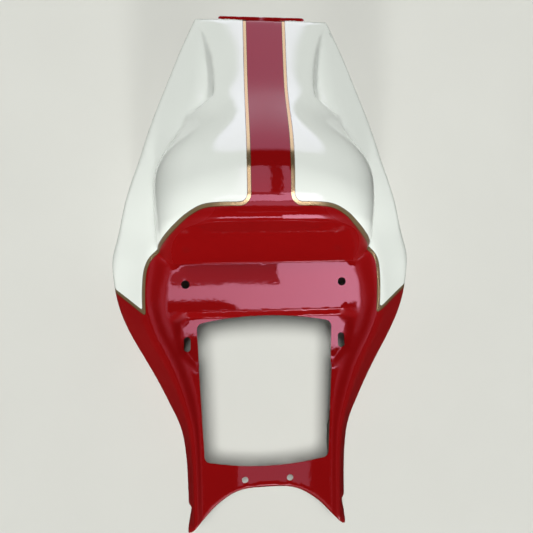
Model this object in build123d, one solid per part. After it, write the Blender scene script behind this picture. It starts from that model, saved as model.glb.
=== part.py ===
from build123d import *
import math
import os

# Single-seat tail cowl: one moulded fibreglass shell, open underneath.
# X runs across the cowl, +Y to the tail, +Z up. Lengths are millimetres.
# The two lower side edges stand on z = 0.

# Shell
WALL = 3.0            # laminate thickness
FLOOR_OVERRUN = 25.0  # how far the hollow runs below the lower edge

# Lengthwise positions
Y_FOLD_LOW = 17.0     # foot of the seat back
Y_FOLD_TOP = 59.5     # top fold of the seat back
Y_TAIL_TOP = 310.0    # top edge of the raked tail face, on the middle line
Y_ARM_END = -312.0    # front end of the outer arm walls

# Heights
Z_FOLD_LOW = 88.5
Z_FOLD_TOP = 204.0
Z_TAIL_TOP = 142.0
TAIL_RAKE = 0.62      # run of the tail face for each unit of drop

# Seat base: a plane falling gently to the front
BASE_Z = 89.0
BASE_FALL = 0.06

# Seat opening
OPEN_REAR_Y = -54.0
OPEN_REAR_CORNER_Y = -64.0
OPEN_FRONT_Y = -258.0
OPEN_FRONT_CORNER_Y = -249.0
OPEN_REAR_HALF = 92.0
OPEN_FRONT_HALF = 84.0
OPEN_CORNER_R = 9.0

# Ledge sunk round the rear corners of the opening
LEDGE_DEPTH = 8.0
LEDGE_DRAFT = 45.0

# Fixing holes, all left empty
SEAT_HOLE_X = 104.5
SEAT_HOLE_Y = -10.0
SEAT_HOLE_D = 11.0
SLOT_X = 104.8
SLOT_Y = -90.5
SLOT_W = 9.0
SLOT_L = 20.0
FRONT_HOLE_X = 30.6
FRONT_HOLE_Y = -276.0
FRONT_HOLE_D = 8.6

# Spine walls beside the two scallops at the tail: upright at the top, spreading in a cove below
SPINE_Z = 149.0       # height at which the cove starts
COVE_DROP = 21.0      # fall of the cove down to the wing
COVE_SPREAD = 9.5     # outward run of the cove over that fall
COVE_ROOT = 23.0      # fall of the cove to its end inside the body
COVE_RINGS = 5

# Folds and rolled edges
FOLD_R = 20.0         # roll from the seat back to the hump
FOLD_EASE = 0.06      # how much the roll leans outward, so that it meets the hump in a clear line
FOLD_FLARE = 0.25     # lean past the end of the roll, outside the hump
FOLD_DEPTH = 28.0     # depth behind the seat back within which the roll ends
LIP_HEIGHT = 13.0

# Arcs of the lower edge in the side view (y, z): under the tail and under the arms
TAIL_SWEEP = [(110, -1), (240, 22), (356, 76)]
ARM_SWEEP = [(-245, -1), (-285, 12), (-314, 46)]

# Plan of the space outside a beak, ahead of the outer arm wall
BEAK_LINE = [(103.5, Y_ARM_END), (112, -356), (180, -356), (180, Y_ARM_END)]

# Ridge across the tail face
TAIL_LIP_W = 112.0
TAIL_LIP_T = 3.0
TAIL_LIP_OUT = 4.0
TAIL_LIP_DROP = 24.0


def base_z(y):
    """Height of the seat base plane at y."""
    return BASE_Z - BASE_FALL * (Y_FOLD_LOW - y)


# Body stations: y, shoulder x and z, rim x and z, inner foot x and z,
# then the radii of shoulder, rim and inner foot.
BODY = [
    (385, 53, 128, 38, 133, 20, 128, 8, 14, 16),
    (340, 76, 123.5, 59, 130.5, 41, 125.5, 8, 18, 20),
    (290, 102, 118.3, 76, 130, 50, 125, 9, 40, 40),
    (240, 124.5, 112.7, 84, 131, 48, 126, 9, 40, 40),
    (195, 144.7, 105.6, 95, 131, 62, 122, 9, 36, 30),
    (150, 162, 98.8, 114, 121, 90, 106, 9, 26, 14),
    (105, 180, 91.5, 127, 113.5, 108, 96, 9, 22, 14),
    (60, 192.5, 83.5, 132, 108, 114, base_z(60) + 3, 9, 20, 14),
    (16, 204, 75, 147, 102, 127, base_z(16), 10, 18, 16),
    (-30, 201, 64.5, 155, 97.5, 137, base_z(-30), 10, 16, 16),
    (-62, 192, 57, 150, 96, 133, base_z(-62), 10, 16, 16),
    (-95, 176.5, 53, 134.5, 94.3, 118, base_z(-95), 10, 15, 14),
    (-131, 156.8, 51, 119.5, 91.5, 104, base_z(-131), 10, 12, 10),
    (-176, 133.8, 51, 106, 87, 93, base_z(-176), 10, 8, 6),
    (-219, 115.5, 54.5, 98.5, 83, 90.5, base_z(-219), 8, 6, 3.5),
    (-262, 110.3, 57, 97, 79, 89.5, base_z(-262), 8, 5, 3),
    (-306, 109, 58, 97, 75, 89, base_z(-306), 7, 5, 3),
    (-355, 110.5, 56, 97, 71, 89, base_z(-355), 7, 5, 3),
    (-385, 112, 55, 98, 69, 89, base_z(-385), 7, 5, 3),
]
SIDE_TUCK = 12.0      # inward lean of the side wall from shoulder to lower edge

# Hump stations: y, half width of the foot, foot z, top z, and two shape powers.
HUMP = [
    (-35, 133, 80, 162, 5.0, 0.65),
    (20, 137, 92, 188, 5.0, 0.65),
    (60, 139, 98, 204.5, 5.0, 0.65),
    (83, 140, 100, 211.5, 4.6, 0.62),
    (105, 140, 101, 214, 3.8, 0.56),
    (130, 136, 104, 210.5, 2.9, 0.52),
    (150, 128, 108, 203.5, 2.4, 0.56),
    (172, 114, 116, 191.5, 2.2, 0.75),
    (195, 104, 120, 177, 2.1, 0.95),
    (216, 108, 118, 165, 2.0, 1.0),
    (240, 112, 116, 157, 2.0, 1.0),
    (290, 108, 113, 145.5, 2.3, 1.0),
    (368, 94, 106, 130, 2.6, 1.0),
]
STATION_STEP = 26.0
HUMP_STEPS = 8
HUMP_FINE = 120
HUMP_ROOT = 16.0      # depth of the hump sides inside the body
FOLD_FINE = 40
FOLD_RINGS = 6
FOLD_ROOT = 70.0      # how far the roll of the fold runs below the foot of the seat back

# Plan line of a spine wall from the tail to where it fades into the hump.
SPINE_LINE = [(82, 390), (67, 310), (61, 260), (60, 236), (61, 214)]
SPINE_FLARE = [(145, 151)]

# Lower edge of the lip round the tank notch, from the middle line to the beak tip,
# and how far the top of the lip lies behind it.
NOTCH_LINE = [(0, -294), (24.5, -294.5), (47, -299.5), (68.5, -312), (88, -330), (110.5, -352)]
NOTCH_ROLL = [7.5, 7.5, 7.5, 7.0, 6.0, 2.0]

# Plan of the sunk ledge, right half from the rear
LEDGE_LINE = [(106, -56.5), (114, -63), (112.5, -80), (107, -99), (92, -118)]


def slopes(ys, values):
    """Slopes of a curve through the values that makes no overshoot."""
    rates = []
    for i in range(len(ys) - 1):
        rates.append((values[i + 1] - values[i]) / (ys[i + 1] - ys[i]))
    tangents = [rates[0]]
    for before, after in zip(rates, rates[1:]):
        if before * after <= 0:
            tangents.append(0.0)
        else:
            tangents.append(2 * before * after / (before + after))
    return tangents + [rates[-1]]


def station(table, y):
    """Row at y, read from smooth curves through the rows of a table."""
    rows = sorted(table)
    ys = [row[0] for row in rows]
    i = max(j for j in range(len(ys) - 1) if ys[j] <= y)
    step = ys[i + 1] - ys[i]
    f = (y - ys[i]) / step
    row = [y]
    for column in list(zip(*rows))[1:]:
        tangent = slopes(ys, column)
        value = (1 + 2 * f) * (1 - f) ** 2 * column[i] + f * (1 - f) ** 2 * step * tangent[i]
        value += f ** 2 * (3 - 2 * f) * column[i + 1] - f ** 2 * (1 - f) * step * tangent[i + 1]
        row.append(value)
    return tuple(row)


def even_stations(table):
    """Rows of a table at equal steps along y."""
    first = min(row[0] for row in table)
    last = max(row[0] for row in table)
    count = round((last - first) / STATION_STEP)
    return [station(table, first + (last - first) * k / count) for k in range(count + 1)]


def unit(dx, dz):
    """Direction of length one."""
    length = math.hypot(dx, dz)
    return dx / length, dz / length


def inset(points, gap):
    """Corners of an open chain after its lines move to their left by gap."""
    lines = []
    for (x0, z0), (x1, z1) in zip(points, points[1:]):
        dx, dz = unit(x1 - x0, z1 - z0)
        lines.append((x0 - dz * gap, z0 + dx * gap, dx, dz))
    moved = []
    for (ax, az, adx, adz), (bx, bz, bdx, bdz) in zip(lines, lines[1:]):
        cross = adx * bdz - adz * bdx
        if abs(cross) < 1e-6:
            moved.append((bx, bz))
            continue
        s = ((bx - ax) * bdz - (bz - az) * bdx) / cross
        moved.append((ax + s * adx, az + s * adz))
    return moved


def corner_rounds(chain, radii):
    """Start, middle and end of the round at each inner corner of a chain."""
    rounds = []
    for i, radius in enumerate(radii, start=1):
        cx, cz = chain[i]
        ax, az = unit(chain[i - 1][0] - cx, chain[i - 1][1] - cz)
        bx, bz = unit(chain[i + 1][0] - cx, chain[i + 1][1] - cz)
        half = math.acos(max(-1.0, min(1.0, ax * bx + az * bz))) / 2
        reach = radius / math.tan(half)
        mx, mz = unit(ax + bx, az + bz)
        rest = radius / math.sin(half) - radius
        rounds.append((
            (cx + ax * reach, cz + az * reach),
            (cx + mx * rest, cz + mz * rest),
            (cx + bx * reach, cz + bz * reach),
        ))
    return rounds


def body_wire(row, gap):
    """Closed section of the body at one station, moved inward by gap."""
    y, sx, sz, rx, rz, fx, fz, sr, rr, fr = row
    low = -FLOOR_OVERRUN if gap else 0.0
    foot_x = sx - SIDE_TUCK + low * SIDE_TUCK / sz
    chain = [(foot_x, low), (sx, sz), (rx, rz), (fx, fz), (-fx, fz)]
    radii = [sr, rr, fr]
    if gap:
        corners = inset(chain, gap)
        radii = [max(sr - gap, 1.5), max(rr - gap, 1.5), fr + gap]
        chain = [(foot_x - gap, low)] + corners
    else:
        chain = chain[:4]
    chain += [(-x, z) for x, z in reversed(chain)]
    radii += list(reversed(radii))
    edges = []
    start = chain[0]
    for first, middle, last in corner_rounds(chain, radii):
        edges.append(Edge.make_line(at(y, start), at(y, first)))
        edges.append(Edge.make_three_point_arc(at(y, first), at(y, middle), at(y, last)))
        start = last
    edges.append(Edge.make_line(at(y, start), at(y, chain[-1])))
    edges.append(Edge.make_line(at(y, chain[-1]), at(y, chain[0])))
    return Wire(edges)


def arch_point(row, gap, turn):
    """Section point of the hump at a turn from 0 at the top to a right angle at the foot."""
    y, a, zf, zt, p, q = row
    lift = max(math.cos(turn), 0.0) ** (2 * q)
    return (a - gap) * math.sin(turn) ** (2 / p), zf - gap + (zt - zf) * lift


def foot_to_top(steps):
    """Turns along half an arch, from the foot to the top."""
    return [math.pi / 2 * (1 - i / steps) for i in range(steps + 1)]


def arch_wire(half, low, place):
    """Closed section from half an arch, with feet that run down to low."""
    spaced = evenly(half, HUMP_STEPS)
    arch = spaced + [(-x, z) for x, z in reversed(spaced[:-1])]
    foot = half[0][0]
    feet = [arch[-1], (-foot, low), (foot, low), arch[0]]
    edges = [Edge.make_spline([place(point) for point in arch])]
    edges += [Edge.make_line(place(p0), place(p1)) for p0, p1 in zip(feet, feet[1:])]
    return Wire(edges)


def hump_wire(row, gap):
    """Closed section of the hump at one station, moved inward by gap."""
    half = [arch_point(row, gap, turn) for turn in foot_to_top(HUMP_FINE)]
    return arch_wire(half, half[0][1] - HUMP_ROOT, lambda point: at(row[0], point))


def on_back(point, depth):
    """Space point from its place on the plane that lies depth behind the seat back."""
    uy, uz = unit(Y_FOLD_TOP - Y_FOLD_LOW, Z_FOLD_TOP - Z_FOLD_LOW)
    x, t = point
    return Vector(x, Y_FOLD_LOW + uy * t + uz * depth, Z_FOLD_LOW + uz * t - uy * depth)


def arch_on_back(turn, depth, gap):
    """Where the hump crosses the plane that lies depth behind the seat back."""
    low, high = -60.0, 200.0
    for _ in range(30):
        t = (low + high) / 2
        place = on_back((0, t), depth)
        x, z = arch_point(station(HUMP, place.Y), gap, turn)
        if place.Z < z:
            low = t
        else:
            high = t
    return x, t


def fold_wire(depth, gap):
    """Section of the rolled fold, depth behind the seat back."""
    radius = FOLD_R - gap
    turns = foot_to_top(FOLD_FINE)
    here = [arch_on_back(turn, gap + depth, gap) for turn in turns]
    behind = [arch_on_back(turn, gap + depth + 1, gap) for turn in turns]
    after = here[1:] + [(-here[-2][0], here[-2][1])]
    before = [(here[0][0], here[0][1] - 1)] + here[:-1]
    half = []
    for (x, t), (bx, bt), (x0, t0), (x1, t1) in zip(here, behind, before, after):
        dx, dt = unit(x1 - x0, t1 - t0)
        spread = (bx - x) * dt - (bt - t) * dx
        slant = math.hypot(1, spread)
        end = radius * (1 - spread / slant)
        inward = -FOLD_EASE * depth
        if depth < end:
            rise = math.sqrt(radius ** 2 - (radius - depth) ** 2)
            inward += spread * (depth - radius) + radius * slant - rise
        else:
            inward -= FOLD_FLARE * (depth - end)
        half.append((x - dt * inward, t + dx * inward))
    return arch_wire(half, -FOLD_ROOT, lambda point: on_back(point, gap + depth))


def fold_space(gap):
    """Space in front of the seat back and round its rolled fold."""
    radius = FOLD_R - gap
    depths = [radius * (1 - math.cos(math.pi / 2 * k / FOLD_RINGS)) for k in range(FOLD_RINGS + 1)]
    depths += [radius + (FOLD_DEPTH + 4 - radius) * k / 3 for k in (1, 2, 3)]
    core = Solid.make_loft([fold_wire(depth, gap) for depth in depths])
    corners = [(-300, -200), (400, -200), (400, FOLD_DEPTH), (-300, FOLD_DEPTH)]
    points = [on_back((0, t), gap + depth) for t, depth in corners]
    return side_prism([(point.Y, point.Z) for point in points]) - core


def at(y, point):
    """Space point of a section point at y."""
    return Vector(point[0], y, point[1])


def evenly(points, steps):
    """Points at equal distances along a fine chain."""
    reach = [0.0]
    for p0, p1 in zip(points, points[1:]):
        reach.append(reach[-1] + math.dist(p0, p1))
    spaced = []
    k = 0
    for i in range(steps + 1):
        goal = reach[-1] * i / steps
        while k < len(points) - 2 and reach[k + 1] < goal:
            k += 1
        f = (goal - reach[k]) / (reach[k + 1] - reach[k])
        spaced.append((
            points[k][0] + f * (points[k + 1][0] - points[k][0]),
            points[k][1] + f * (points[k + 1][1] - points[k][1]),
        ))
    return spaced


def side_prism(points, half_width=320.0):
    """Prism across the whole cowl from points in the side view (y, z)."""
    wire = Wire.make_polygon([Vector(-half_width, y, z) for y, z in points], close=True)
    return Solid.extrude(Face(wire), Vector(2 * half_width, 0, 0))


def behind_tail(gap):
    """Space behind the raked tail face, moved forward by gap."""
    shift = gap * math.hypot(1, TAIL_RAKE)
    top = (Y_TAIL_TOP - shift - 100 * TAIL_RAKE, Z_TAIL_TOP + 100)
    low = (Y_TAIL_TOP - shift + 200 * TAIL_RAKE, Z_TAIL_TOP - 200)
    return side_prism([top, low, (700, low[1]), (700, top[1])])


def scallop_ring(side, gap, drop):
    """Plan outline of the space outside one spine wall, at a drop below the start of its cove."""
    line = SPINE_LINE + SPINE_FLARE
    move = gap - COVE_SPREAD * (drop / COVE_DROP) ** 2
    chain = [(line[0][0], line[0][1] + 50)] + line + [(line[-1][0] + 50, line[-1][1] - 40)]
    moved = inset(chain, -move)
    z = SPINE_Z - drop
    spine = [Vector(side * x, y, z) for x, y in moved[:len(SPINE_LINE)]]
    flare = [Vector(side * x, y, z) for x, y in moved[len(SPINE_LINE) - 1:]]
    far = [Vector(side * 300, flare[-1].Y, z), Vector(side * 300, spine[0].Y, z)]
    rest = flare + far + [spine[0]]
    edges = [Edge.make_spline(spine)]
    edges += [Edge.make_line(p0, p1) for p0, p1 in zip(rest, rest[1:])]
    return Wire(edges)


def scallop_space(side, gap):
    """Space outside one spine wall: upright above the cove and below it."""
    drops = [COVE_ROOT * k / COVE_RINGS for k in range(COVE_RINGS + 1)]
    cove = Solid.make_loft([scallop_ring(side, gap, drop) for drop in drops])
    above = Solid.extrude(Face(scallop_ring(side, gap, 0)), Vector(0, 0, 80))
    below = Solid.extrude(Face(scallop_ring(side, gap, COVE_ROOT)), Vector(0, 0, -80))
    return cove + above + below


def plan_prism(points, low, high):
    """Upright prism from plan points (x, y)."""
    wire = Wire.make_polygon([Vector(x, y, low) for x, y in points], close=True)
    return Solid.extrude(Face(wire), Vector(0, 0, high - low))


def notch_space(gap, low, high):
    """Space of the tank notch with its rolled lip, moved into the cowl by gap."""
    lip_z = base_z(NOTCH_LINE[0][1]) - LIP_HEIGHT
    rings = []
    for z in (low, high):
        rise = (z - lip_z) / LIP_HEIGHT
        half = []
        for (x, y), roll in zip(NOTCH_LINE, NOTCH_ROLL):
            half.append((x, y + gap + roll * rise))
        curve = [(-x, y) for x, y in reversed(half[1:])] + half
        edge = [Vector(x, y, z) for x, y in curve]
        far = [Vector(220, edge[-1].Y, z), Vector(220, -430, z), Vector(-220, -430, z)]
        far += [Vector(-220, edge[0].Y, z)]
        rest = [edge[-1]] + far + [edge[0]]
        edges = [Edge.make_spline(edge)]
        edges += [Edge.make_line(p0, p1) for p0, p1 in zip(rest, rest[1:])]
        rings.append(Wire(edges))
    return Solid.make_loft(rings, ruled=True)


def ledge_space(gap):
    """Space over the sunk ledge, grown by gap to the sides and below."""
    half = LEDGE_LINE
    low = base_z(half[2][1]) - LEDGE_DEPTH - gap
    spread = math.tan(math.radians(LEDGE_DRAFT))
    rings = []
    for rise in (0.0, 40.0):
        chain = [(0, half[0][1])] + half + [(0, half[-1][1])]
        moved = inset(chain, gap + spread * rise)
        ring = [Vector(x, y, low + rise) for x, y in moved]
        ring += [Vector(-x, y, low + rise) for x, y in reversed(moved)]
        rings.append(Wire.make_polygon(ring, close=True))
    return Solid.make_loft(rings, ruled=True)


def opening_space():
    """Through space of the seat opening."""
    rear = [(OPEN_REAR_HALF, OPEN_REAR_CORNER_Y), (0, OPEN_REAR_Y), (-OPEN_REAR_HALF, OPEN_REAR_CORNER_Y)]
    front = [(-OPEN_FRONT_HALF, OPEN_FRONT_CORNER_Y), (0, OPEN_FRONT_Y), (OPEN_FRONT_HALF, OPEN_FRONT_CORNER_Y)]
    outline = Curve() + [
        ThreePointArc(*rear),
        Line(rear[2], front[0]),
        ThreePointArc(*front),
        Line(front[2], rear[0]),
    ]
    plan = make_face(outline)
    plan = fillet(plan.vertices(), OPEN_CORNER_R)
    return extrude(Pos(0, 0, 20) * plan, 120)


def lower_trim(first, middle, last, far_y):
    """Space under an arc in the side view."""
    arc = Edge.make_three_point_arc(*[Vector(-320, y, z) for y, z in (first, middle, last)])
    corners = [last, (far_y, last[1]), (far_y, -60), (first[0], -60), first]
    rest = [Vector(-320, y, z) for y, z in corners]
    edges = [arc] + [Edge.make_line(p0, p1) for p0, p1 in zip(rest, rest[1:])]
    return Solid.extrude(Face(Wire(edges)), Vector(640, 0, 0))


def tail_lip():
    """Flat ridge across the tail face."""
    reach = TAIL_LIP_OUT + WALL
    y = Y_TAIL_TOP + TAIL_RAKE * TAIL_LIP_DROP + TAIL_LIP_OUT - reach / 2
    return Pos(0, y, Z_TAIL_TOP - TAIL_LIP_DROP) * Box(TAIL_LIP_W, reach, TAIL_LIP_T)


def skin(gap):
    """Closed outer form of the cowl, or its hollow when gap is the wall."""
    body = Solid.make_loft([body_wire(row, gap) for row in even_stations(BODY)])
    hump = Solid.make_loft([hump_wire(row, gap) for row in even_stations(HUMP)])
    body = body - behind_tail(gap)
    hump = hump - fold_space(gap) - behind_tail(gap)
    hump = hump - scallop_space(1, gap) - scallop_space(-1, gap)
    return body + hump


def fixing_holes():
    """Bores and slots, all square to the floor."""
    cutters = []
    for side in (-1, 1):
        cutters.append(Pos(side * SEAT_HOLE_X, SEAT_HOLE_Y, 80) * Cylinder(SEAT_HOLE_D / 2, 60))
        cutters.append(Pos(side * FRONT_HOLE_X, FRONT_HOLE_Y, 70) * Cylinder(FRONT_HOLE_D / 2, 40))
        slot = Pos(side * SLOT_X, SLOT_Y, 55) * Rot(0, 0, 90) * SlotOverall(SLOT_L, SLOT_W)
        cutters.append(extrude(slot, 40))
    return cutters


def build():
    """The whole cowl as one solid, with the middle of its box at y = 0."""
    lip_low = base_z(NOTCH_LINE[0][1]) - LIP_HEIGHT
    outer = skin(0) - ledge_space(0)
    hollow = skin(WALL) - ledge_space(WALL) - notch_space(WALL, lip_low, 140)
    shell = outer - hollow
    shell = shell - notch_space(0, -60, 140) - opening_space()
    for cutter in fixing_holes():
        shell = shell - cutter
    shell = shell - lower_trim(*TAIL_SWEEP, 480) - lower_trim(*ARM_SWEEP, -480)
    for side in (-1, 1):
        shell = shell - plan_prism([(side * x, y) for x, y in BEAK_LINE], -60, 160)
    shell = shell + tail_lip()
    middle = shell.bounding_box().center()
    return Pos(0, -middle.Y, 0) * shell


os.makedirs("parts", exist_ok=True)
cowl = build()
cowl.label = "seat_cowl"
export_step(cowl, "parts/seat_cowl.step")
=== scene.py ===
import math

import bmesh
import bpy
import numpy as np
from mathutils import Euler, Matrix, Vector


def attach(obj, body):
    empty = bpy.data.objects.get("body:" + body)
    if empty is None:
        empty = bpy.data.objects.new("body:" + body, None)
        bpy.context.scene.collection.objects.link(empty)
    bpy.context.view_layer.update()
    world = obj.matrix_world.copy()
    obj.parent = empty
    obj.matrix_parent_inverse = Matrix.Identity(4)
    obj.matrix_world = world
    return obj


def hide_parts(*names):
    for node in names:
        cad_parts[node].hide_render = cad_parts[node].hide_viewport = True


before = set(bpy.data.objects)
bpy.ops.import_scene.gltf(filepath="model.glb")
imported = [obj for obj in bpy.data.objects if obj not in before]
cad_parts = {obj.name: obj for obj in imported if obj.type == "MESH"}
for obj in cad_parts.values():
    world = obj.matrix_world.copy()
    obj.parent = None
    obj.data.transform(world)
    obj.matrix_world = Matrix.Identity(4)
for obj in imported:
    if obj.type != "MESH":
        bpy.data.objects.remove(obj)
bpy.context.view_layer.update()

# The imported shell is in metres. Sizes below are in millimetres unless they say otherwise.
MM = 0.001

# Camera: held above the cowl and looking down, as in the photo
CAMERA_AT = (-36.7, 0.6, 620.0)
CAMERA_TURN = (1.37, -4.22, -1.12)    # degrees about X, Y and Z
CAMERA_LENS = 27.02                   # on a sensor 36 wide, square picture

# Mesh of the shell
SLIVER_ROUNDS = 3       # passes that give stray bare faces back to the paint
REFINE_ROUNDS = 8       # most passes that halve long edges
PAINT_EDGE = 4.4        # longest edge of a painted face after refining
BARE_EDGE = 14.0        # longest edge of a bare face after refining
SMOOTH_ROUNDS = 2       # passes that round the moulded creases
NORMAL_ROUNDS = 2       # passes that soften the shading across them
FLOW_ROUNDS = 9         # the same where one form flows into the next
FLOW_FADE = 25.0        # width of the soft border of such a place
# Such places: span of the distance from the middle line, of y and of z
FLOWS = [
    ((86.0, 262.0), (-412.0, 82.0), (-12.0, 147.0)),   # the rim into the seat base
    ((60.0, 172.0), (48.0, 204.0), (73.0, 172.0)),     # the spine walls and the wings into the hump
]
STAR_CENTRE = Vector((0.0, 100.0, -200.0)) * MM   # every outer face looks away from this point

# Cut-outs with a bare edge: the opening's corners, then each pair of holes by its distance from the
# middle line, its y and the reach of its edge
OPENING = ((-95.0, -262.0), (95.0, -50.0))
HOLES = [
    (104.5, -9.4, 6.5),
    (104.8, -89.9, 11.5),
    (30.6, -275.4, 5.5),
]

# Tail face: its top edge (y, z) on the middle line, its run for each unit of drop and its half width
TAIL_TOP = (310.6, 142.0)
TAIL_RAKE = 0.62
TAIL_HALF = 60.0

# Side walls: they turn down below this height, further than this from the middle line
SIDE_TOP = 70.0
SIDE_FROM = 100.0

# Paint lines in plan: the middle of the gold line, from the stripe's corner to the point of the V
STRIPE_FRONT = (100.0, -22.5, 22.6)   # y there, then the left and right edge of the stripe
STRIPE_REAR = (300.0, -22.3, 25.0)
STRIPE_CORNER = 10.0
RIGHT_LINE = [
    (42, 75), (58, 74.2), (70, 71.4), (83, 64.8), (96, 56.2), (113, 46.8),
    (133, 37.2), (144, 27.7), (150, 16), (152.3, -4), (152.7, -26), (151.9, -49),
]
LEFT_LINE = [
    (-48, 75), (-64, 74.2), (-75, 71.6), (-88, 65), (-102, 56), (-115, 48),
    (-134, 36), (-145.5, 25.8), (-151.5, 16), (-155, 3), (-157, -20), (-157.2, -45),
]
LEG_SLOPE = 0.68        # run of the V's outer leg along Y for each unit outward
GOLD_HALF = 1.7         # half width of the gold line
OUTLINE = 0.6           # thin dark edges of the gold line
LINE_BLUR = 0.15        # half width of the soft change at each edge
FAR = 700.0             # well outside the cowl, for closing the outline of the red field
FULL_RED = -20.0        # paint distance that lies well inside the red field

# Paint colours, and the tint of what the red and the cream mirror. The gold has a second, darker copy with
# painted shade.
RED = (0.21, 0.003, 0.0035, 1.0)
CREAM = (0.735, 0.755, 0.735, 1.0)
GOLD = (0.40, 0.28, 0.16, 1.0)
# Darker copy of the gold: painted shade for the gold line where it leans sideways in the seat half
GOLD_SHADED_SIDE = (0.16, 0.115, 0.06, 1.0)
GOLD_EDGE = (0.06, 0.025, 0.01, 1.0)
RED_GLOSS = (1.0, 0.48, 0.70, 1.0)
CREAM_GLOSS = (0.62, 0.48, 0.69, 1.0)
RED_ROUGH = 0.035
CREAM_ROUGH = 0.06
# Where the gloss is calmer, and where the gold line gets painted shade: the seat half in metres along y,
# and how far a face leans sideways
SEAT_FROM = (0.15, 0.07)
SEAT_LEAN = (0.02, 0.10)
FLANK_LEAN = (0.25, 0.45)

# Studio light. The gloss shows only the boxes, the window, the cards and a bright sky behind the cowl.
# The light on the paint itself comes from two soft suns that the gloss does not show.
DIM_LIGHT = (0.012, 0.012, 0.012, 1.0)
SKY_LIGHT = (2.20, 2.35, 2.60, 1.0)
SKY_AXIS = (0.07, 0.955, 0.27)
SKY_ANGLE = 27.0
BOX_HEIGHT = 1.6
# Boxes: span in x and y at that height, and radiance. All in metres.
BOXES = {
    "box_base": ((-0.42, 0.16), (-0.205, -0.145), 0.45),
    "box_cross": ((-0.22, 0.42), (-0.50, -0.40), 2.0),
    "box_strip": ((-0.05, 0.34), (-1.36, -1.20), 1.2),
    "box_hump_left": ((-0.10, 0.125), (-0.21, 0.75), 2.2),
    "box_hump_right": ((0.18, 0.24), (-0.13, 0.75), 2.2),
}
# Window over the seat at that height: its outline in x and y, and its radiance at both ends
WINDOW = [
    (-0.41, -0.207), (0.195, -0.215), (0.17, -0.185), (0.175, -0.14), (0.47, -0.14), (0.52, -0.157),
    (0.58, -0.19), (0.64, -0.205), (0.64, -0.22), (0.59, -0.24), (0.59, -0.275), (0.65, -0.29),
    (0.645, -0.32), (0.59, -0.317), (0.50, -0.38), (-0.01, -0.39), (-0.045, -0.335), (-0.095, -0.304),
    (-0.18, -0.294), (-0.36, -0.296), (-0.40, -0.262),
]
WINDOW_LIGHT = (5.0, 8.4)
# Upright cards in front of the cowl: span in x and z, and radiance. All in metres.
CARD_Y = -2.5
CARDS = {
    "card_left": ((-0.30, 0.32), (0.34, 0.72), 7.0),
    "card_right": ((0.32, 0.80), (0.05, 1.20), 9.0),
}
# Suns: where they stand, strength and the angle they fill in degrees
SUNS = {
    "sun_rear": ((-0.06, 0.30, 0.952), 3.2, 24.0),
    "sun_front": ((-0.02, -0.99, 0.12), 3.8, 8.0),
}
SUN_TINT = (0.975, 1.0, 0.955)
# Floor and wall round the cowl, in metres
FLOOR_HALF = 6.0
WALL_RADIUS = 5.9
WALL_HEIGHT = 8.0


def smooth_line(points, steps):
    """Points along a smooth curve through the given ones."""
    padded = [points[0]] + list(points) + [points[-1]]
    line = []
    for p0, p1, p2, p3 in zip(padded, padded[1:], padded[2:], padded[3:]):
        for k in range(steps):
            t = k / steps
            place = []
            for a, b, c, d in zip(p0, p1, p2, p3):
                place.append(0.5 * (2 * b + (c - a) * t + (2 * a - 5 * b + 4 * c - d) * t * t
                                    + (3 * b - a - 3 * c + d) * t ** 3))
            line.append(tuple(place))
    return line + [tuple(points[-1])]


def corner_arc(x, y, side):
    """Round corner between the stripe and the cross line, from the stripe outward."""
    arc = []
    for k in range(7):
        turn = math.pi / 2 * k / 6
        outward = STRIPE_CORNER * (1 - math.cos(turn))
        rearward = STRIPE_CORNER * (1 - math.sin(turn))
        arc.append((x + side * outward, y + rearward))
    return arc


def red_outline():
    """Closed plan outline of the red field, with the stripe and the two V points."""
    halves = []
    for side, line in ((1, RIGHT_LINE), (-1, LEFT_LINE)):
        y0, y1 = STRIPE_FRONT[0], STRIPE_REAR[0]
        front = STRIPE_FRONT[1 if side < 0 else 2]
        rear = STRIPE_REAR[1 if side < 0 else 2]
        past_tail = (rear + (rear - front) * (FAR - y1) / (y1 - y0), FAR)
        tip = line[-1]
        leg = (tip[0] + side * FAR, tip[1] + LEG_SLOPE * FAR)
        corner = corner_arc(front, line[0][1], side)
        halves.append([past_tail, (front, y0)] + corner + smooth_line(line, 6) + [leg])
    right, left = halves
    return right + [(2 * FAR, -FAR), (-2 * FAR, -FAR)] + list(reversed(left))


def signed_distance(points, outline):
    """Distance of plan points to a closed outline, negative inside it."""
    x = points[:, 0]
    y = points[:, 1]
    best = np.full(len(points), 1e9)
    inside = np.zeros(len(points), dtype=bool)
    for (x0, y0), (x1, y1) in zip(outline, outline[1:] + outline[:1]):
        dx = x1 - x0
        dy = y1 - y0
        f = np.clip(((x - x0) * dx + (y - y0) * dy) / max(dx * dx + dy * dy, 1e-9), 0, 1)
        best = np.minimum(best, np.hypot(x - x0 - f * dx, y - y0 - f * dy))
        if y0 != y1:
            crosses = (y0 > y) != (y1 > y)
            inside ^= crosses & (x < x0 + (y - y0) / (y1 - y0) * dx)
    return np.where(inside, -best, best)


def is_bare(face):
    """True for a face of the inside or of a cut edge."""
    middle = face.calc_center_median()
    if face.normal.dot(middle - STAR_CENTRE) < 0:
        return True
    if abs(face.normal.z) > 0.35:
        return False
    x = middle.x / MM
    y = middle.y / MM
    (x0, y0), (x1, y1) = OPENING
    if x0 < x < x1 and y0 < y < y1:
        return True
    return any(math.hypot(abs(x) - hx, y - hy) < reach for hx, hy, reach in HOLES)


def edge_limit(edge):
    """Longest edge that is kept: painted faces are finer than bare ones."""
    bare = all(face.material_index for face in edge.link_faces)
    return (BARE_EDGE if bare else PAINT_EDGE) * MM


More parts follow.
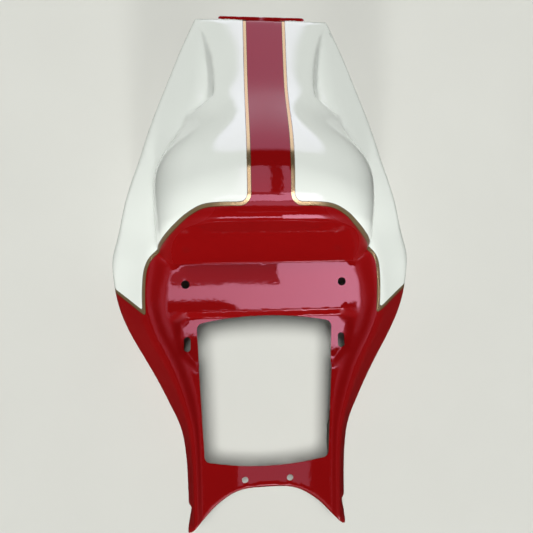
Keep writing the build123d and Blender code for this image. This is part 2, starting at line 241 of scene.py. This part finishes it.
def refined_shell(node):
    """Fine copy of the CAD shell: painted faces use material 0 and bare ones 1."""
    source = node.data.copy()
    normals = np.empty(len(source.loops) * 3, dtype=np.float32)
    source.corner_normals.foreach_get("vector", normals)
    source.attributes.new("cad_normal", "FLOAT_VECTOR", "CORNER").data.foreach_set("vector", normals)
    bm = bmesh.new()
    bm.from_mesh(source)
    bpy.data.meshes.remove(source)
    bmesh.ops.remove_doubles(bm, verts=bm.verts, dist=1e-5)
    bmesh.ops.dissolve_degenerate(bm, dist=1e-6, edges=bm.edges)
    bmesh.ops.triangulate(bm, faces=bm.faces)
    bm.normal_update()
    for face in bm.faces:
        face.material_index = 1 if is_bare(face) else 0
        face.smooth = True
    for _ in range(SLIVER_ROUNDS):
        for face in bm.faces:
            beside = [other for edge in face.edges for other in edge.link_faces if other != face]
            if sum(other.material_index for other in beside) < 2:
                face.material_index = 0
    for _ in range(REFINE_ROUNDS):
        long_edges = [edge for edge in bm.edges if edge.calc_length() > edge_limit(edge)]
        if not long_edges:
            break
        bmesh.ops.subdivide_edges(bm, edges=long_edges, cuts=1)
        bmesh.ops.triangulate(bm, faces=[face for face in bm.faces if len(face.verts) > 3])
    for edge in bm.edges:
        kinds = {face.material_index for face in edge.link_faces}
        edge.smooth = len(kinds) == 1
    mesh = bpy.data.meshes.new("cowl_shell")
    bm.to_mesh(mesh)
    bm.free()
    return mesh


def neighbour_mean(values, ends, degree):
    """Mean of each point's neighbours."""
    total = np.zeros_like(values)
    for axis in range(3):
        total[:, axis] += np.bincount(ends[:, 0], weights=values[ends[:, 1], axis], minlength=len(values))
        total[:, axis] += np.bincount(ends[:, 1], weights=values[ends[:, 0], axis], minlength=len(values))
    return total / degree[:, None]


def mesh_edges(mesh):
    """Point pairs of all edges, and the number of edges at each point."""
    ends = np.empty(len(mesh.edges) * 2, dtype=np.int64)
    mesh.edges.foreach_get("vertices", ends)
    degree = np.bincount(ends, minlength=len(mesh.vertices)).astype(float)
    return ends.reshape(-1, 2), degree


def soften_shading(mesh, place):
    """Sets the shading of the painted side from the CAD surfaces, softened across creases."""
    corners = len(mesh.loops)
    layer = mesh.attributes["cad_normal"]
    normals = np.empty(corners * 3, dtype=np.float32)
    layer.data.foreach_get("vector", normals)
    normals = normals.reshape(-1, 3)
    points = np.empty(corners, dtype=np.int64)
    mesh.loops.foreach_get("vertex_index", points)
    kinds = np.empty(len(mesh.polygons), dtype=np.int64)
    mesh.polygons.foreach_get("material_index", kinds)
    painted = np.repeat(kinds == 0, 3)
    count = len(mesh.vertices)
    field = np.zeros((count, 3))
    for axis in range(3):
        field[:, axis] = np.bincount(points[painted], weights=normals[painted, axis], minlength=count)
    ends, _ = mesh_edges(mesh)
    on_paint = np.bincount(points[painted], minlength=count) > 0
    ends = ends[on_paint[ends].all(axis=1)]
    degree = np.maximum(np.bincount(ends.ravel(), minlength=count), 1).astype(float)
    spots = np.column_stack([np.abs(place[:, 0]), place[:, 1], place[:, 2]]) / MM
    depth = np.zeros(count)
    for spans in FLOWS:
        low, high = np.array(spans).T
        depth = np.maximum(depth, np.minimum(spots - low, high - spots).min(axis=1))
    flow = np.clip(depth / FLOW_FADE, 0, 1)
    for k in range(FLOW_ROUNDS):
        field /= np.maximum(np.linalg.norm(field, axis=1), 1e-9)[:, None]
        share = 0.5 * np.where(k < NORMAL_ROUNDS, 1.0, flow)
        field += share[:, None] * (neighbour_mean(field, ends, degree) - field)
    field /= np.maximum(np.linalg.norm(field, axis=1), 1e-9)[:, None]
    shading = np.where(painted[:, None], field[points], 0.0)
    mesh.attributes.remove(layer)
    mesh.normals_split_custom_set(shading.tolist())


def round_creases(mesh):
    """Relaxes the mesh so that its moulded creases get a small round. Cut edges stay."""
    count = len(mesh.vertices)
    place = np.empty(count * 3)
    mesh.vertices.foreach_get("co", place)
    place = place.reshape(-1, 3)
    ends, degree = mesh_edges(mesh)
    sharp = np.empty(len(mesh.edges), dtype=bool)
    mesh.edges.foreach_get("use_edge_sharp", sharp)
    fixed = np.zeros(count, dtype=bool)
    fixed[ends[sharp].ravel()] = True
    for _ in range(SMOOTH_ROUNDS):
        mean = neighbour_mean(place, ends, degree)
        place = np.where(fixed[:, None], place, place + 0.5 * (mean - place))
    mesh.vertices.foreach_set("co", place.ravel())
    mesh.update()
    return place


def store_paint_distance(mesh, place):
    """Keeps each point's distance to the paint line, in millimetres, for the paint material."""
    plan = place[:, :2] / MM
    height = place[:, 2] / MM
    drop = np.clip(SIDE_TOP - height, 0, None) * (np.abs(plan[:, 0]) > SIDE_FROM)
    unrolled = np.column_stack([plan[:, 0] + np.sign(plan[:, 0]) * drop, plan[:, 1]])
    distance = signed_distance(unrolled, red_outline())
    past_tail = plan[:, 1] - TAIL_TOP[0] - TAIL_RAKE * (TAIL_TOP[1] - height)
    on_tail = (past_tail > 1.0) & (np.abs(plan[:, 0]) < TAIL_HALF)
    distance = np.where(on_tail, FULL_RED, distance)
    layer = mesh.attributes.new("paint_mm", "FLOAT", "POINT")
    layer.data.foreach_set("value", np.clip(distance, -60, 60))


class Shader:
    """Adds nodes to one material and links them."""

    def __init__(self, name):
        self.material = bpy.data.materials.new(name)
        self.material.use_nodes = True
        self.nodes = self.material.node_tree.nodes
        self.links = self.material.node_tree.links
        self.bsdf = self.nodes["Principled BSDF"]

    def node(self, kind, **settings):
        made = self.nodes.new(kind)
        for key, value in settings.items():
            setattr(made, key, value)
        return made

    def feed(self, socket, value):
        if hasattr(value, "is_linked"):
            self.links.new(value, socket)
        else:
            socket.default_value = value

    def math(self, operation, *values):
        made = self.node("ShaderNodeMath", operation=operation)
        for socket, value in zip(made.inputs, values):
            self.feed(socket, value)
        return made.outputs[0]

    def step(self, value, low, high):
        """0 below low and 1 above high, with a straight ramp between."""
        made = self.node("ShaderNodeMapRange")
        self.feed(made.inputs["Value"], value)
        made.inputs["From Min"].default_value = low
        made.inputs["From Max"].default_value = high
        return made.outputs[0]

    def mix(self, factor, first, second):
        made = self.node("ShaderNodeMix", data_type="RGBA")
        self.feed(made.inputs["Factor"], factor)
        self.feed(made.inputs["A"], first)
        self.feed(made.inputs["B"], second)
        return made.outputs["Result"]

    def place(self):
        return self.node("ShaderNodeTexCoord").outputs["Object"]

    def part(self, vector, axis):
        """One component of a vector."""
        split = self.node("ShaderNodeSeparateXYZ")
        self.links.new(vector, split.inputs[0])
        return split.outputs[axis]

    def noise(self, scale, detail=2.0, roughness=0.5):
        made = self.node("ShaderNodeTexNoise")
        self.links.new(self.place(), made.inputs["Vector"])
        made.inputs["Scale"].default_value = scale
        made.inputs["Detail"].default_value = detail
        made.inputs["Roughness"].default_value = roughness
        return made.outputs["Fac"]

    def bump(self, height, strength, distance):
        made = self.node("ShaderNodeBump")
        made.inputs["Strength"].default_value = strength
        made.inputs["Distance"].default_value = distance
        self.links.new(height, made.inputs["Height"])
        return made.outputs["Normal"]


def paint_material():
    """Gloss paint: cream and red fields parted by a gold line, all under clear lacquer. The gold line is
    painted darker, as shade, where it leans sideways in the seat half.
    """
    s = Shader("gloss_paint")
    away = s.node("ShaderNodeAttribute", attribute_name="paint_mm").outputs["Fac"]
    pale = s.step(away, -0.2, 0.2)
    off_line = s.math("ABSOLUTE", away)
    edge_from = s.step(off_line, GOLD_HALF - LINE_BLUR, GOLD_HALF + LINE_BLUR)
    edge_to = s.step(off_line, GOLD_HALF + OUTLINE - LINE_BLUR, GOLD_HALF + OUTLINE + LINE_BLUR)
    gold = s.math("SUBTRACT", 1.0, edge_from)
    edge = s.math("SUBTRACT", edge_from, edge_to)
    cloud = s.step(s.noise(9.0, 3.0), 0.3, 0.7)
    red = s.mix(cloud, RED, tuple(0.93 * c for c in RED[:3]) + (1.0,))
    cream = s.mix(cloud, CREAM, tuple(0.97 * c for c in CREAM[:3]) + (1.0,))
    field = s.mix(pale, red, cream)
    lined = s.mix(edge, field, GOLD_EDGE)
    white = s.math("MULTIPLY", pale, s.math("SUBTRACT", 1.0, gold))
    lean = s.math("ABSOLUTE", s.part(s.node("ShaderNodeTexCoord").outputs["Normal"], "X"))
    ahead = s.step(s.part(s.place(), "Y"), *SEAT_FROM)
    aside = s.math("MULTIPLY", s.step(lean, *SEAT_LEAN), ahead)
    # The gold line takes the darker gold where it leans sideways in the seat half: painted shade
    s.links.new(s.mix(gold, lined, s.mix(aside, GOLD, GOLD_SHADED_SIDE)), s.bsdf.inputs["Base Color"])
    metal = s.math("MULTIPLY", gold, s.math("MULTIPLY_ADD", aside, -0.45, 0.75))
    s.links.new(metal, s.bsdf.inputs["Metallic"])
    calm = s.math("MAXIMUM", ahead, s.step(lean, *FLANK_LEAN))
    shine = s.math("MULTIPLY", white, s.math("MULTIPLY_ADD", calm, -0.75, 1.0))
    lacquer = s.math("MULTIPLY", s.math("SUBTRACT", 1.0, white), s.math("MULTIPLY_ADD", aside, -0.225, 0.5))
    s.links.new(s.math("ADD", shine, lacquer), s.bsdf.inputs["Specular IOR Level"])
    s.links.new(s.mix(white, RED_GLOSS, CREAM_GLOSS), s.bsdf.inputs["Specular Tint"])
    dull = s.math("MULTIPLY", aside, s.math("SUBTRACT", 1.0, white))
    even = s.math("MULTIPLY_ADD", white, CREAM_ROUGH - RED_ROUGH, RED_ROUGH)
    rough = s.math("MULTIPLY_ADD", dull, 0.35, even)
    s.links.new(s.math("MULTIPLY_ADD", gold, 0.1, rough), s.bsdf.inputs["Roughness"])
    peel = s.noise(210.0, 1.0)
    s.links.new(s.bump(peel, 0.05, 0.0004), s.bsdf.inputs["Normal"])
    return s.material


def bare_material():
    """Bare laminate: dark resin over chopped strands."""
    s = Shader("bare_laminate")
    strands = s.noise(420.0, 6.0, 0.75)
    patches = s.noise(35.0, 4.0, 0.6)
    tone = s.mix(s.step(patches, 0.35, 0.65), (0.085, 0.075, 0.065, 1.0), (0.13, 0.115, 0.10, 1.0))
    flecked = s.mix(s.step(strands, 0.4, 0.6), tone, (0.19, 0.175, 0.155, 1.0))
    s.links.new(flecked, s.bsdf.inputs["Base Color"])
    s.bsdf.inputs["Roughness"].default_value = 0.55
    s.links.new(s.bump(strands, 0.5, 0.0006), s.bsdf.inputs["Normal"])
    return s.material


def build_cowl():
    """The finished shell, standing for the CAD node."""
    mesh = refined_shell(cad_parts["seat_cowl"])
    place = round_creases(mesh)
    soften_shading(mesh, place)
    store_paint_distance(mesh, place)
    cowl = bpy.data.objects.new("cowl_shell", mesh)
    bpy.context.collection.objects.link(cowl)
    mesh.materials.append(paint_material())
    mesh.materials.append(bare_material())
    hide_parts("seat_cowl")
    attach(cowl, "root")


def floor():
    """Plain pale floor under the cowl, left out of the gloss so that the flanks stay dark."""
    corners = [(-FLOOR_HALF, -FLOOR_HALF, 0), (FLOOR_HALF, -FLOOR_HALF, 0)]
    corners += [(FLOOR_HALF, FLOOR_HALF, 0), (-FLOOR_HALF, FLOOR_HALF, 0)]
    mesh = bpy.data.meshes.new("floor")
    mesh.from_pydata(corners, [], [(0, 1, 2, 3)])
    plane = bpy.data.objects.new("floor", mesh)
    bpy.context.collection.objects.link(plane)
    s = Shader("pale_floor")
    tone = s.mix(s.noise(6.0, 4.0), (0.62, 0.61, 0.59, 1.0), (0.66, 0.65, 0.63, 1.0))
    s.links.new(tone, s.bsdf.inputs["Base Color"])
    s.bsdf.inputs["Roughness"].default_value = 0.8
    s.bsdf.inputs["Specular IOR Level"].default_value = 0.0
    mesh.materials.append(s.material)
    plane.visible_glossy = False


def backdrop():
    """Pale wall round the floor for the low views, which gives no light."""
    mesh = bpy.data.meshes.new("backdrop")
    bm = bmesh.new()
    bmesh.ops.create_cone(bm, segments=64, radius1=WALL_RADIUS, radius2=WALL_RADIUS, depth=WALL_HEIGHT)
    bm.to_mesh(mesh)
    bm.free()
    wall = bpy.data.objects.new("backdrop", mesh)
    bpy.context.collection.objects.link(wall)
    s = Shader("pale_wall")
    s.feed(s.bsdf.inputs["Base Color"], (0.0, 0.0, 0.0, 1.0))
    tone = s.mix(s.noise(0.4), (0.68, 0.68, 0.66, 1.0), (0.74, 0.74, 0.72, 1.0))
    s.feed(s.bsdf.inputs["Emission Color"], tone)
    s.feed(s.bsdf.inputs["Emission Strength"], 1.0)
    mesh.materials.append(s.material)
    wall.visible_diffuse = False
    wall.visible_glossy = False
    wall.visible_shadow = False


def area_light(name, width, depth, radiance):
    """Rectangular light of a given radiance. Lengths in metres."""
    light = bpy.data.lights.new(name, "AREA")
    light.shape = "RECTANGLE"
    light.size = width
    light.size_y = depth
    light.energy = radiance * math.pi * width * depth
    lamp = bpy.data.objects.new(name, light)
    bpy.context.collection.objects.link(lamp)
    return lamp


def window():
    """Bright window over the seat, seen by the gloss only."""
    mesh = bpy.data.meshes.new("window")
    mesh.from_pydata([(x, y, BOX_HEIGHT) for x, y in WINDOW], [], [range(len(WINDOW))])
    pane = bpy.data.objects.new("window", mesh)
    bpy.context.collection.objects.link(pane)
    s = Shader("window_light")
    across = s.step(s.part(s.place(), "X"), -0.4, 0.6)
    low, high = WINDOW_LIGHT
    s.feed(s.bsdf.inputs["Base Color"], (0.0, 0.0, 0.0, 1.0))
    s.feed(s.bsdf.inputs["Emission Color"], (1.0, 1.0, 1.0, 1.0))
    s.feed(s.bsdf.inputs["Emission Strength"], s.math("MULTIPLY_ADD", across, high - low, low))
    mesh.materials.append(s.material)
    pane.visible_camera = False
    pane.visible_diffuse = False
    pane.visible_shadow = False


def studio():
    """Boxes and a rear sky that the gloss mirrors, and suns that light the paint."""
    for name, (across, along, radiance) in BOXES.items():
        lamp = area_light(name, across[1] - across[0], along[1] - along[0], radiance)
        lamp.location = (sum(across) / 2, sum(along) / 2, BOX_HEIGHT)
        lamp.visible_diffuse = False
    for name, (across, up, radiance) in CARDS.items():
        lamp = area_light(name, across[1] - across[0], up[1] - up[0], radiance)
        lamp.location = (sum(across) / 2, CARD_Y, sum(up) / 2)
        lamp.rotation_euler = (math.pi / 2, 0, 0)
        lamp.visible_diffuse = False
    for name, (place, strength, angle) in SUNS.items():
        light = bpy.data.lights.new(name, "SUN")
        light.energy = strength
        light.angle = math.radians(angle)
        light.color = SUN_TINT
        lamp = bpy.data.objects.new(name, light)
        bpy.context.collection.objects.link(lamp)
        lamp.location = place
        lamp.rotation_euler = Vector(place).to_track_quat("Z", "Y").to_euler()
        lamp.visible_glossy = False
    world = bpy.data.worlds.new("studio")
    world.use_nodes = True
    bpy.context.scene.world = world
    nodes = world.node_tree.nodes
    links = world.node_tree.links
    way = nodes.new("ShaderNodeTexCoord").outputs["Generated"]

    def near(axis, angle, blur):
        """1 within an angle of an axis and 0 outside it, with a soft border."""
        dot = nodes.new("ShaderNodeVectorMath")
        dot.operation = "DOT_PRODUCT"
        dot.inputs[1].default_value = Vector(axis).normalized()
        links.new(way, dot.inputs[0])
        ramp = nodes.new("ShaderNodeMapRange")
        ramp.interpolation_type = "SMOOTHSTEP"
        ramp.inputs["From Min"].default_value = math.cos(math.radians(angle + blur))
        ramp.inputs["From Max"].default_value = math.cos(math.radians(angle - blur))
        links.new(dot.outputs["Value"], ramp.inputs["Value"])
        return ramp.outputs[0]

    def tone(factor, first, second):
        mix = nodes.new("ShaderNodeMix")
        mix.data_type = "RGBA"
        links.new(factor, mix.inputs["Factor"])
        mix.inputs["A"].default_value = first
        mix.inputs["B"].default_value = second
        return mix.outputs["Result"]

    sky = tone(near(SKY_AXIS, SKY_ANGLE, 3.0), DIM_LIGHT, SKY_LIGHT)
    links.new(sky, nodes["Background"].inputs["Color"])
    nodes["Background"].inputs["Strength"].default_value = 1.0
    world.cycles_visibility.diffuse = False


def camera():
    """Camera at the photo's viewing angle."""
    data = bpy.data.cameras.new("photo_camera")
    data.lens = CAMERA_LENS
    data.sensor_width = 36.0
    data.clip_start = 0.01
    eye = bpy.data.objects.new("photo_camera", data)
    eye.location = Vector(CAMERA_AT) * MM
    eye.rotation_euler = Euler([math.radians(a) for a in CAMERA_TURN], "XYZ")
    bpy.context.collection.objects.link(eye)
    bpy.context.scene.camera = eye


build_cowl()
floor()
backdrop()
window()
studio()
camera()
bpy.context.scene.view_settings.view_transform = "Standard"
